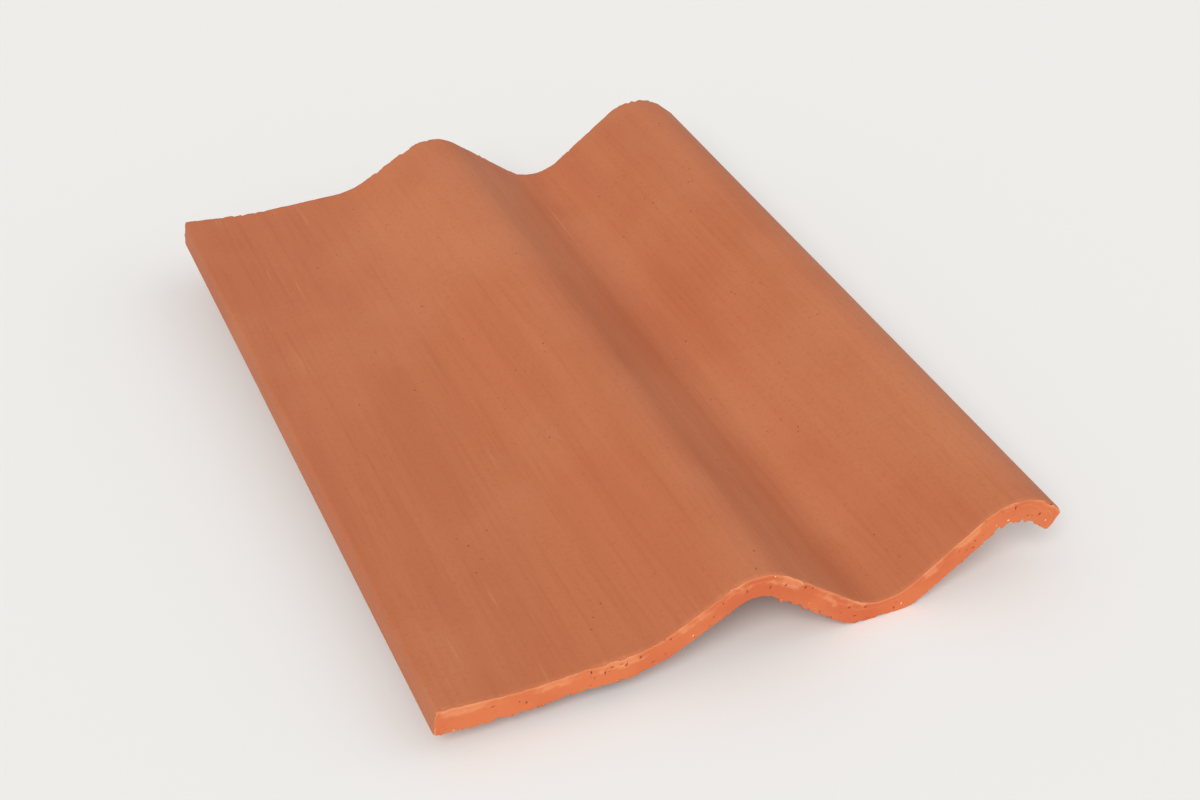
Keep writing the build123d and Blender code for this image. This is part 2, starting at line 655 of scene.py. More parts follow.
@dataclass(frozen=True)
class CutRelief:
    """Wire-cut end: its waviness, its pits and its two edges, in metres."""

    wave_height: float = 0.28 * MM
    wave_width: float = 34 * MM
    wave_sunk: float = 0.7
    drag_height: float = 0.06 * MM
    drag_width: float = 1.8 * MM
    drag_stretch: float = 9.0
    pit_count: int = 60
    pit_radius: float = 0.85 * MM
    pit_depth: float = 0.6 * MM
    pit_sizes: Span = (0.5, 1.5)
    pit_stretches: Span = (0.6, 1.6)
    pit_depths: Span = (0.4, 1.2)
    pit_slope: Span = (0.3, 1.0)
    burr_height: float = 0.85 * MM
    burr_width: float = 2.0 * MM
    burr_floor: float = -0.3
    notch_depth: float = 1.0 * MM
    notch_width: float = 3.1 * MM
    notch_onset: Span = (0.25, 0.6)
    patch_length: float = 24 * MM
    patch_onset: Span = (-0.45, 0.35)
    least_strength: float = 0.25
    pull_strength: float = 1.6
    pull_reach: float = 15 * MM
    pulled_notches: float = 0.2
    worn_inset: float = 0.36 * MM
    worn_width: float = 5.0 * MM
    worn_least: float = 0.8
    worn_spread: float = 0.7
    nick_onset: Span = (0.2, 0.6)
    nick_share: float = 0.8
    tooth_floor: float = -0.5
    tooth_share: float = 0.55
    edge_reach: float = 0.9 * MM
    seed: int = 53
    drag_seed: int = 55
    seeds_apart: int = 100

    def face(self, points: np.ndarray) -> np.ndarray:
        """How far the cut face lies beyond its plane.

        Args:
            points: places on the section, one row each.

        Returns:
            Heights out of the end, most of them below zero.
        """
        across, up = points[:, 0], points[:, 1]
        wave = Noise(self.seed).layered(across / self.wave_width, up / self.wave_width, 3)
        drag = Noise(self.drag_seed).at(across / self.drag_width, up / (self.drag_stretch * self.drag_width))
        return self.wave_height * (wave - self.wave_sunk) + self.drag_height * drag

    def pits(self, points: np.ndarray, within: np.ndarray, end: Cut) -> np.ndarray:
        """Depth of the small pits that pulled-out grit leaves.

        Args:
            points: places on the section, one row each.
            within: the places among which pits are put.
            end: which end it is, with its own pits.

        Returns:
            Heights, zero or below.
        """
        rng = np.random.default_rng(self.seed + end.value)
        total = np.zeros(len(points))
        for centre in within[rng.choice(len(within), self.pit_count, replace=False)]:
            radius = self.pit_radius * rng.uniform(*self.pit_sizes)
            stretch = rng.uniform(*self.pit_stretches)
            depth = self.pit_depth * rng.uniform(*self.pit_depths)
            far = np.linalg.norm((points - centre) * np.array([stretch, 1 / stretch]), axis=1) / radius
            total = np.minimum(total, -depth * (1 - ease(far, *self.pit_slope)))
        return total

    def _rough(self, run: np.ndarray, width: float, layers: int, mark: Mark, end: Cut) -> np.ndarray:
        """Noise along an edge, from about -1 to 1."""
        seed = self.seed + mark.value + self.seeds_apart * end.value
        return Noise(seed).layered(run / width, run * 0, layers)

    def _patches(self, run: np.ndarray, mark: Mark, end: Cut) -> np.ndarray:
        """From 0 where an edge came away clean to 1 where it crumbled."""
        return ease(self._rough(run, self.patch_length, 2, mark, end), *self.patch_onset)

    def burr(self, run: np.ndarray, bend: float, end: Cut) -> np.ndarray:
        """Ragged edge on the side where the wire comes out: burrs out, notches in.

        Args:
            run: distance along the outline.
            bend: where the hook bends, at which the wire pulls out the most crumbs.
            end: which end it is, with its own marks.

        Returns:
            Outward heights.
        """
        pull = np.exp(-(((run - bend) / self.pull_reach) ** 2))
        patches = self._patches(run, Mark.PATCHES, end)
        strength = self.least_strength + (1 - self.least_strength) * patches
        strength = np.maximum(strength, self.pull_strength * pull)
        rough = np.maximum(self._rough(run, self.burr_width, 3, Mark.BURRS, end), self.burr_floor)
        notched = self._rough(run, self.notch_width, 2, Mark.NOTCHES, end) + self.pulled_notches * pull
        notches = ease(notched, *self.notch_onset)
        return strength * (self.burr_height * rough - self.notch_depth * notches)

    def worn(self, run: np.ndarray, end: Cut) -> np.ndarray:
        """Smeared edge on the side where the wire goes in: an uneven rounding, nicks and teeth.

        Args:
            run: distance along the outline.
            end: which end it is, with its own marks.

        Returns:
            Outward heights, most of them below zero.
        """
        rough = self._rough(run, self.worn_width, 4, Mark.WEAR, end)
        nicks = ease(self._rough(run, self.notch_width, 2, Mark.NICKS, end), *self.nick_onset)
        teeth = np.maximum(self._rough(run, self.burr_width, 2, Mark.TEETH, end), self.tooth_floor)
        torn_out = self.nick_share * self.notch_depth * nicks - self.tooth_share * self.burr_height * teeth
        rounding = self.worn_inset * (self.worn_least + self.worn_spread * rough)
        return -rounding - self._patches(run, Mark.WORN_PATCHES, end) * torn_out


# Nodes


class Value:
    """A number socket of a node tree that takes part in Python sums."""

    def __init__(self, graph: "Graph", socket: bpy.types.NodeSocket) -> None:
        """Wraps one output socket."""
        self.graph = graph
        self.socket = socket

    def _math(self, operation: str, *values: "Value | float", clamp: bool = False) -> "Value":
        """One Math node."""
        settings = {"operation": operation, "use_clamp": clamp}
        return Value(self.graph, self.graph.first("ShaderNodeMath", settings, dict(enumerate(values))))

    def __add__(self, other: "Value | float") -> "Value":
        """Sum."""
        return self._math("ADD", self, other)

    def __mul__(self, other: "Value | float") -> "Value":
        """Product."""
        return self._math("MULTIPLY", self, other)

    __radd__, __rmul__ = __add__, __mul__

    def __sub__(self, other: "Value | float") -> "Value":
        """Difference."""
        return self._math("SUBTRACT", self, other)

    def __rsub__(self, other: float) -> "Value":
        """Difference, the other way round."""
        return self._math("SUBTRACT", other, self)

    def __pow__(self, other: "Value | float") -> "Value":
        """Power."""
        return self._math("POWER", self, other)

    def above(self, other: "Value | float") -> "Value":
        """One where the value is the greater, zero elsewhere."""
        return self._math("GREATER_THAN", self, other)

    def absolute(self) -> "Value":
        """The value without its sign."""
        return self._math("ABSOLUTE", self)

    def clamped(self) -> "Value":
        """The value kept between 0 and 1."""
        return self._math("ADD", self, 0.0, clamp=True)

    def between(self, low: float, high: float) -> "Value":
        """Smooth step from 0 at low to 1 at high.

        Args:
            low: where the step starts.
            high: where it ends.

        Returns:
            The step.
        """
        made = self.graph.node(
            "ShaderNodeMapRange",
            {"interpolation_type": "SMOOTHSTEP", "clamp": True},
            {"Value": self, "From Min": low, "From Max": high, "To Min": 0.0, "To Max": 1.0},
        )
        return Value(self.graph, made.outputs["Result"])


class Graph:
    """Makes nodes in one tree."""

    def __init__(self, tree: bpy.types.NodeTree) -> None:
        """Takes the tree that the nodes go into."""
        self.tree = tree

    def node(self, kind: str, settings: dict | None = None, inputs: dict | None = None) -> bpy.types.Node:
        """Makes a node.

        Args:
            kind: the node's type.
            settings: its own properties, set before its sockets.
            inputs: by socket name or index, a value, or a socket, a Value or a list of them to link.

        Returns:
            The node.
        """
        made = self.tree.nodes.new(kind)
        for name, value in (settings or {}).items():
            setattr(made, name, value)
        for key, given in (inputs or {}).items():
            target = self._socket(made, key)
            for value in given if isinstance(given, list) else [given]:
                source = getattr(value, "socket", value)
                if isinstance(source, bpy.types.NodeSocket):
                    self.tree.links.new(source, target)
                else:
                    target.default_value = source
        return made

    def first(
        self, kind: str, settings: dict | None = None, inputs: dict | None = None
    ) -> bpy.types.NodeSocket:
        """Makes a node and gives its first output."""
        return self.node(kind, settings, inputs).outputs[0]

    @staticmethod
    def _socket(made: bpy.types.Node, key: str | int) -> bpy.types.NodeSocket:
        """Finds an input by index, identifier or name.

        Args:
            made: the node.
            key: which of its inputs.

        Returns:
            The input.
        """
        if isinstance(key, int):
            return made.inputs[key]
        return next((socket for socket in made.inputs if socket.identifier == key), None) or made.inputs[key]

    def output(self, made: bpy.types.Node, identifier: str) -> Value:
        """An output of a node, found by its identifier."""
        return Value(self, next(socket for socket in made.outputs if socket.identifier == identifier))

    def vectors(self, operation: str, *values: object) -> bpy.types.NodeSocket:
        """One Vector Math node on vectors, with the factor last where it scales."""
        keys = (0, "Scale") if operation == "SCALE" else range(len(values))
        return self.first("ShaderNodeVectorMath", {"operation": operation}, dict(zip(keys, values)))

    def combined(self, x: object, y: object, z: object) -> bpy.types.NodeSocket:
        """A vector made of three numbers."""
        return self.first("ShaderNodeCombineXYZ", {}, {"X": x, "Y": y, "Z": z})

    def noise(self, vector: object, scale: object, detail: float = 3.0, roughness: float = 0.5) -> Value:
        """Noise from 0 to 1 at a scale in cells per metre.

        Args:
            vector: where, or None for each point's own place.
            scale: how many cells there are in a metre.
            detail: how many finer layers are added.
            roughness: how strong each layer is beside the coarser one.

        Returns:
            The noise.
        """
        inputs = {"Scale": scale, "Detail": detail, "Roughness": roughness}
        if vector is not None:
            inputs["Vector"] = vector
        return Value(self, self.node("ShaderNodeTexNoise", {"noise_dimensions": "3D"}, inputs).outputs["Fac"])

    def cells(self, vector: bpy.types.NodeSocket, scale: float) -> Value:
        """Distance from the nearest of scattered points."""
        made = self.node("ShaderNodeTexVoronoi", {"feature": "F1"}, {"Vector": vector, "Scale": scale})
        return Value(self, made.outputs["Distance"])

    def drawn_out(self, vector: bpy.types.NodeSocket, along: float) -> bpy.types.NodeSocket:
        """The same coordinates, but slower along the tile."""
        inputs = {"Vector": vector, "Scale": (1.0, along, 1.0)}
        return self.first("ShaderNodeMapping", {"vector_type": "POINT"}, inputs)

    def attribute(self, name: str) -> Value:
        """A number stored on the mesh, for a shader."""
        return Value(self, self.node("ShaderNodeAttribute", {"attribute_name": name}).outputs["Fac"])

    def stored(self, name: str, kind: str) -> bpy.types.NodeSocket:
        """A value stored on the mesh, for a node group."""
        return self.first("GeometryNodeInputNamedAttribute", {"data_type": kind}, {"Name": name})

    def mix(self, share: Value, low: object, high: object) -> bpy.types.NodeSocket:
        """Mixes two colours.

        Args:
            share: how much of the second colour shows.
            low: the first colour.
            high: the second colour.

        Returns:
            The mixed colour.
        """
        made = self.node(
            "ShaderNodeMix",
            {"data_type": "RGBA", "clamp_factor": True},
            {"Factor_Float": share, "A_Color": low, "B_Color": high},
        )
        return self.output(made, "Result_Color").socket


def geometry_group(name: str, inputs: dict[str, str]) -> tuple[Graph, bpy.types.NodeOutputs]:
    """Starts a node group that takes and gives geometry.

    Args:
        name: the group's name.
        inputs: the kind of each further named input.

    Returns:
        The group's graph, and its inputs as sockets.
    """
    tree = bpy.data.node_groups.new(name, "GeometryNodeTree")
    for label, kind in {"Geometry": "Geometry", **inputs}.items():
        tree.interface.new_socket(label, in_out="INPUT", socket_type="NodeSocket" + kind)
    tree.interface.new_socket("Geometry", in_out="OUTPUT", socket_type="NodeSocketGeometry")
    graph = Graph(tree)
    return graph, graph.node("NodeGroupInput").outputs


def finish_group(graph: Graph, geometry: bpy.types.NodeSocket, material: bpy.types.NodeSocket) -> None:
    """Ends a node group in Realize Instances and Set Material.

    Args:
        graph: the node group's graph.
        geometry: what the group has made.
        material: its finish.
    """
    real = graph.first("GeometryNodeRealizeInstances", {}, {"Geometry": geometry})
    dressed = graph.first("GeometryNodeSetMaterial", {}, {"Geometry": real, "Material": material})
    graph.node("NodeGroupOutput", {}, {"Geometry": dressed})


def run_group(host: bpy.types.Object, tree: bpy.types.NodeTree, values: dict[str, object]) -> bpy.types.Mesh:
    """Runs a node group on a helper object, which is used up.

    Args:
        host: the helper object.
        tree: the node group.
        values: what its named inputs get.

    Returns:
        The result as a plain mesh.
    """
    modifier = host.modifiers.new(tree.name, "NODES")
    modifier.node_group = tree
    for item in tree.interface.items_tree:
        if item.in_out == "INPUT" and item.name in values:
            modifier[item.identifier] = values[item.name]
    bpy.context.view_layer.update()
    evaluated = host.evaluated_get(bpy.context.evaluated_depsgraph_get())
    mesh = bpy.data.meshes.new_from_object(evaluated)
    bpy.data.objects.remove(host)
    return mesh


def add_object(name: str, data: bpy.types.ID) -> bpy.types.Object:
    """Puts an object into the scene.

    Args:
        name: the object's name.
        data: its mesh, or what makes it a lamp or a camera.

    Returns:
        The object.
    """
    made = bpy.data.objects.new(name, data)
    bpy.context.scene.collection.objects.link(made)
    return made


def add_mesh(name: str, points: np.ndarray, edges: list, faces: list) -> bpy.types.Object:
    """Makes a mesh object from plain lists.

    Args:
        name: name of the object and of its mesh.
        points: the points, one row each.
        edges: pairs of point numbers, where there are edges without a face.
        faces: for each face, its point numbers.

    Returns:
        The object.
    """
    mesh = bpy.data.meshes.new(name)
    mesh.from_pydata(points.tolist(), edges, faces)
    mesh.update()
    return add_object(name, mesh)


def dress(mesh: bpy.types.Mesh, *finishes: bpy.types.Material) -> None:
    """Gives a mesh its finishes, in the place of any others and of empty slots.

    Args:
        mesh: the mesh.
        finishes: its materials, in the order of their slots.
    """
    mesh.materials.clear()
    for finish in finishes:
        mesh.materials.append(finish)


def store(mesh: bpy.types.Mesh, name: str, kind: str, values: np.ndarray) -> None:
    """Stores one value for each point of a mesh."""
    stored = mesh.attributes.new(name, kind, "POINT")
    stored.data.foreach_set("vector" if kind == "FLOAT_VECTOR" else "value", values.reshape(-1))


def recall(mesh: bpy.types.Mesh, name: str, kind: type) -> np.ndarray:
    """Takes a stored value back from a mesh.

    Args:
        mesh: the mesh, which loses the value.
        name: the value's name.
        kind: the type of its numbers.

    Returns:
        One number for each point.
    """
    values = np.empty(len(mesh.vertices), kind)
    mesh.attributes[name].data.foreach_get("value", values)
    mesh.attributes.remove(mesh.attributes[name])
    return values


def keep_inside(mesh: bpy.types.Mesh, points: np.ndarray, box: Box) -> np.ndarray:
    """Moves a mesh's points to new places, none of them outside the plain part's box.

    Args:
        mesh: the mesh.
        points: the new places, one row each.
        box: lowest and highest corner of the plain part.

    Returns:
        The places that the points got.
    """
    places = np.clip(points, *box)
    mesh.vertices.foreach_set("co", places.reshape(-1))
    mesh.update()
    return places


# Tile


@dataclass
class EndFace:
    """One cut end as the wire leaves it: its points, how far each stands out, pits and depths."""

    points: np.ndarray
    push: np.ndarray
    pit: np.ndarray
    rim: np.ndarray


@dataclass
class TileBody:
    """The tile's visible body: its section drawn along a rail by nodes, then worn in mesh code."""

    section: Section = field(default_factory=Section)
    skin: SkinRelief = field(default_factory=SkinRelief)
    torn: TornRelief = field(default_factory=TornRelief)
    cut: CutRelief = field(default_factory=CutRelief)
    length: float = 400.0 * MM
    nib_length: float = 25.0 * MM
    nib_face_slant: float = 0.4 * MM
    first_step: float = 0.22 * MM
    step_growth: float = 1.3
    middle_step: float = 7.5 * MM
    head_reach: float = 17.5 * MM
    settle_reach: float = 5.0 * MM
    knee_share: float = 0.8
    nib_raggedness: float = 0.05
    calm_columns: int = 9
    hook_hollow: float = 18 * MM
    torn_blend: int = 3
    edge_stations: int = 3
    bare_stub_end: float = 3.0 * MM
    sharp_angle: float = 50.0
    plan: CutPlan = field(init=False, repr=False)
    slope: float = field(init=False)
    origin: np.ndarray = field(init=False)
    knife_length: float = field(init=False)
    knife_start: float = field(init=False)
    hook_bend: float = field(init=False)
    run: np.ndarray = field(init=False, repr=False)
    outward: np.ndarray = field(init=False, repr=False)
    under: np.ndarray = field(init=False, repr=False)
    torn_here: np.ndarray = field(init=False, repr=False)
    torn_share: np.ndarray = field(init=False, repr=False)
    inset: np.ndarray = field(init=False, repr=False)
    calm: np.ndarray = field(init=False, repr=False)
    placed: np.ndarray = field(init=False, repr=False)
    surfaces: dict[Surface, np.ndarray] = field(init=False, repr=False)

    def __post_init__(self) -> None:
        """Works out the columns, how the section stands in the frame, and what each point gets."""
        columns = self.section.columns()
        self.plan = plan = CutPlan(columns)
        self.knife_length = self.length - self.nib_length
        self.knife_start = self.knife_length - self.nib_face_slant
        self._stand(columns)

        tail = columns.ring(Cut.TAIL)
        self.run = lengths_along(tail)
        self.outward = np.stack([outward_of(columns.ring(end)) for end in Cut])
        hollow = np.array([0, self.section.hook_corner_level - self.hook_hollow])
        self.hook_bend = self.run[np.argmin(np.linalg.norm(tail - hollow, axis=1))]

        self.under = plan.marked(plan.below)
        self.torn_here = plan.marked(plan.below, columns.torn[::-1])
        outline = slice(0, plan.outline)
        blend = np.ones(self.torn_blend) / self.torn_blend
        self.torn_share = np.convolve(self.torn_here[outline].astype(float), blend, mode="same")
        self.inset = np.zeros(plan.size)
        self.inset[outline] = self._inset(self.torn_here[outline])
        near = np.ones(self.calm_columns)
        ribbed = plan.marked(plan.below, columns.ribbed[::-1])[outline].astype(float)
        beside = (np.convolve(ribbed, near, mode="same") > 0).astype(float)
        self.calm = 1 - (1 - self.nib_raggedness) * np.convolve(beside, near / self.calm_columns, mode="same")

    def _stand(self, columns: Columns) -> None:
        """Stands the tile on the channel's stub at the tail and on the nibs at the head.

        Args:
            columns: the paired points of the section.
        """
        sizes = self.section
        self.slope = math.atan2(sizes.channel_stub_level - sizes.nib_foot_level, self.knife_length)
        ring = columns.ring(Cut.HEAD)
        low, high = ring.min(axis=0), ring.max(axis=0)
        middle_drop = (high[1] + low[1]) * math.sin(self.slope) / 2
        self.origin = np.array([
            (low[0] + high[0]) / 2,
            middle_drop - self.length * math.cos(self.slope) / 2,
            -sizes.channel_stub_level * math.cos(self.slope),
        ])

    def _inset(self, torn: np.ndarray) -> np.ndarray:
        """Distance of each torn point from the nearest edge of its stub, zero elsewhere.

        Args:
            torn: which points of the outline are torn.

        Returns:
            One distance for each point of the outline.
        """
        smooth = self.run[~torn]
        after = np.clip(np.searchsorted(smooth, self.run), 1, len(smooth) - 1)
        return np.where(torn, np.minimum(self.run - smooth[after - 1], smooth[after] - self.run), 0.0)

    def place(self, points: np.ndarray, along: np.ndarray) -> np.ndarray:
        """Section points and distances from the tail, as points in the frame.

        Args:
            points: places on the section, one row each.
            along: distance of each from the tail.

        Returns:
            Places in the frame, one row each.
        """
        rise, reach = math.sin(self.slope), math.cos(self.slope)
        return np.column_stack([
            self.origin[0] - points[:, 0],
            self.origin[1] + along * reach - points[:, 1] * rise,
            self.origin[2] + points[:, 1] * reach + along * rise,
        ])

    def stations(self) -> np.ndarray:
        """Distances from the tail at which the outline is repeated, close together at both ends.

        Returns:
            The distances, from 0 to the tile's length.
        """
        near = [0.0]
        step = self.first_step
        while step < self.middle_step:
            near.append(near[-1] + step)
            step *= self.step_growth
        head = [self.length - value for value in near if value < self.head_reach]
        count = round((self.knife_start - near[-1]) / self.middle_step) + 1
        middle = np.linspace(near[-1], self.knife_start, count)
        return np.array(near[:-1] + middle.tolist() + [self.knife_length] + head[::-1])

    def _sweep_group(self) -> bpy.types.NodeTree:
        """Builds the node group that draws the section along the rail and closes both ends.

        Returns:
            The node group.
        """
        numbers = dict.fromkeys(("Length", "Knife Start", "Merge"), "Float")
        graph, given = geometry_group("tile_sweep", {"Rail": "Object", **numbers, "Material": "Material"})
        sides = graph.first("GeometryNodeInputMeshEdgeNeighbors")
        single = graph.first(
            "FunctionNodeCompare", {"data_type": "INT", "operation": "EQUAL"}, {"A_INT": sides, "B_INT": 1}
        )
        die = graph.first("GeometryNodeMeshToCurve", {}, {"Mesh": given["Geometry"], "Selection": single})
        rail = graph.node("GeometryNodeObjectInfo", {}, {"Object": given["Rail"]}).outputs["Geometry"]
        path = graph.first("GeometryNodeMeshToCurve", {}, {"Mesh": rail})
        walls = graph.first("GeometryNodeCurveToMesh", {}, {"Curve": path, "Profile Curve": die})
        tail, head = (
            graph.first(
                "GeometryNodeStoreNamedAttribute",
                {"data_type": "FLOAT", "domain": "POINT"},
                {"Geometry": given["Geometry"], "Name": "along", "Value": away},
            )
            for away in (0.0, given["Length"])
        )
        head = graph.first("GeometryNodeFlipFaces", {}, {"Mesh": head})
        whole = graph.first("GeometryNodeJoinGeometry", {}, {"Geometry": [walls, tail, head]})
        along = Value(graph, graph.stored("along", "FLOAT"))
        kept = along.above(Value(graph, given["Knife Start"]) + TOUCH)
        grown = graph.vectors("SCALE", graph.stored("nib", "FLOAT_VECTOR"), kept)
        seat = graph.vectors("ADD", graph.stored("seat", "FLOAT_VECTOR"), grown)
        position = graph.vectors("ADD", seat, graph.combined(0.0, 0.0, along))
        placed = graph.first("GeometryNodeSetPosition", {}, {"Geometry": whole, "Position": position})
        merging = {"Geometry": placed, "Distance": given["Merge"]}
        closed = graph.first("GeometryNodeMergeByDistance", {}, merging)
        finish_group(graph, closed, given["Material"])
        return graph.tree

    def _swept(self, material: bpy.types.Material) -> bpy.types.Mesh:
        """The plain body, each point of which keeps its number on the section and its station.

        Args:
            material: what the node group gives to every face.

        Returns:
            The body's mesh, with slot and along stored at its points.
        """
        tail, head = (np.pad(self.plan.places(end, self.knee_share), ((0, 0), (0, 1))) for end in Cut)
        die = add_mesh("tile_die", tail, [], self.plan.cells().tolist())
        store(die.data, "slot", "INT", np.arange(self.plan.size, dtype=np.int32))
        store(die.data, "seat", "FLOAT_VECTOR", tail)
        store(die.data, "nib", "FLOAT_VECTOR", head - tail)
        stations = self.stations()
        links = [(step, step + 1) for step in range(len(stations) - 1)]
        rail = add_mesh("tile_rail", np.outer(stations, [0, 0, 1]), links, [])
        store(rail.data, "along", "FLOAT", stations)
        values = {
            "Rail": rail,
            "Length": self.length,
            "Knife Start": self.knife_start,
            "Merge": TOUCH,
            "Material": material,
        }
        mesh = run_group(die, self._sweep_group(), values)
        bpy.data.objects.remove(rail)
        for name in ("seat", "nib"):
            mesh.attributes.remove(mesh.attributes[name])
        return mesh

    def _heights(self, slot: np.ndarray, along: np.ndarray) -> np.ndarray:
        """Outward height of points of the outline.

        Args:
            slot: number of each point on the section.
            along: its distance from the tail.

        Returns:
            One height for each point.
        """
        run = self.run[slot]
        knifed = along < self.knife_start + TOUCH
        torn = self.torn_share[slot] * knifed
        height = self.skin.height(run, along) * (1 - torn) + self.torn.height(run, along) * torn
        for end, away in zip(Cut, (along, self.length - along)):
            burr, worn = self.cut.burr(run, self.hook_bend, end), self.cut.worn(run, end)
            edge = np.where(self.under[slot], burr, worn) * np.where(knifed, 1.0, self.calm[slot])
            height += np.exp(-((away / self.cut.edge_reach) ** 2)) * edge
        return height

    def _end_face(self, end: Cut) -> EndFace:
        """Wears one cut end: ragged edges, waviness and pits.

        Args:
            end: which end it is.

        Returns:
            The worn end.
        """
        plan = self.plan
        along = np.full(plan.outline, self.length * end.value)
        moves = self.outward[end.value] * self._heights(np.arange(plan.outline), along)[:, None]
        points = plan.places(end, self.knee_share) + plan.spread(moves)
        holes = self.cut.pits(points, points[plan.outline :], end)
        push = self.cut.face(points + end.value * self.length) + holes
        return EndFace(points, push, np.clip(-holes / self.cut.pit_depth, 0, 1), plan.depths(points))

    def build(self, box: Box, finishes: list[bpy.types.Material]) -> bpy.types.Object:
        """Builds the body.

        Args:
            box: lowest and highest corner of the plain part.
            finishes: the materials of the zones, in their order.

        Returns:
            The finished object, named after its node.
        """
        mesh = self._swept(finishes[Zone.SKIN.value])
        points = np.empty(len(mesh.vertices) * 3, np.float32)
        mesh.vertices.foreach_get("co", points)
        points = points.reshape(-1, 3)[:, :2].astype(float)
        slot, along = recall(mesh, "slot", np.int32), recall(mesh, "along", np.float32).astype(float)

        wall = slot < self.plan.outline
        past_knife = (along > self.knife_start + TOUCH).astype(int)
        outward = self.outward[past_knife[wall], slot[wall]]
        points[wall] += outward * self._heights(slot[wall], along[wall])[:, None]
        shift, pit, rim = np.zeros((3, len(slot)))
        for end in Cut:
            face = self._end_face(end)
            away = np.abs(along - self.length * end.value)
            settled = np.clip(1 - away / self.settle_reach, 0, 1) ** 2
            shift += end.way_out * face.push[slot] * settled
            here = away < TOUCH
            points[here] = face.points[slot[here]]
            pit[here], rim[here] = face.pit[slot[here]], face.rim[slot[here]]
        self.placed = keep_inside(mesh, self.place(points, along + shift), box)

        for name, values in (("rim", rim), ("pit", pit), ("inset", self.inset[slot])):
            store(mesh, name, "FLOAT", values)
        dress(mesh, *finishes)
        self._sort_faces(mesh, slot, along)
        mesh.shade_smooth()
        mesh.set_sharp_from_angle(angle=math.radians(self.sharp_angle))
        return add_object(NODE + "_clay", mesh)

    def _sort_faces(self, mesh: bpy.types.Mesh, slot: np.ndarray, along: np.ndarray) -> None:
        """Gives each face its finish, and keeps the surfaces on which loose crumbs are scattered.

        Args:
            mesh: the body's mesh.
            slot: number of each point on the section.
            along: its distance from the tail.
        """
        faces = np.empty(len(mesh.polygons) * 4, np.int32)
        mesh.loops.foreach_get("vertex_index", faces)
        faces = faces.reshape(-1, 4)
        start, stop = along[faces].min(axis=1), along[faces].max(axis=1)
        cut = stop - start < TOUCH
        torn = ~cut & self.torn_here[slot[faces]].all(axis=1) & (stop < self.knife_length + TOUCH)
        zones = np.where(cut, Zone.CUT.value, np.where(torn, Zone.TORN.value, Zone.SKIN.value))
        mesh.polygons.foreach_set("material_index", zones.astype(np.int32))
        reach = self.stations()[self.edge_stations] + TOUCH
        edge = ~cut & ((stop < reach) | (start > self.length - reach))
        above = self.plan.marked(self.plan.above)[slot[faces]].all(axis=1)
        below = self.under[slot[faces]].all(axis=1)
        self.surfaces = {
            Surface.EDGES_BELOW: faces[edge & below],
            Surface.EDGES_ABOVE: faces[edge & above],
            Surface.TORN: faces[torn & (start > self.bare_stub_end)],
            Surface.CUT: faces[cut],
        }

    def host(self, surface: Surface) -> bpy.types.Object:
        """A helper object made of one of the tile's kept surfaces.

        Args:
            surface: which surface.

        Returns:
            The helper object.
        """
        faces = self.surfaces[surface]
        used, packed = np.unique(faces, return_inverse=True)
        return add_mesh(surface.value + "_host", self.placed[used], [], packed.reshape(faces.shape).tolist())


# Crumbs


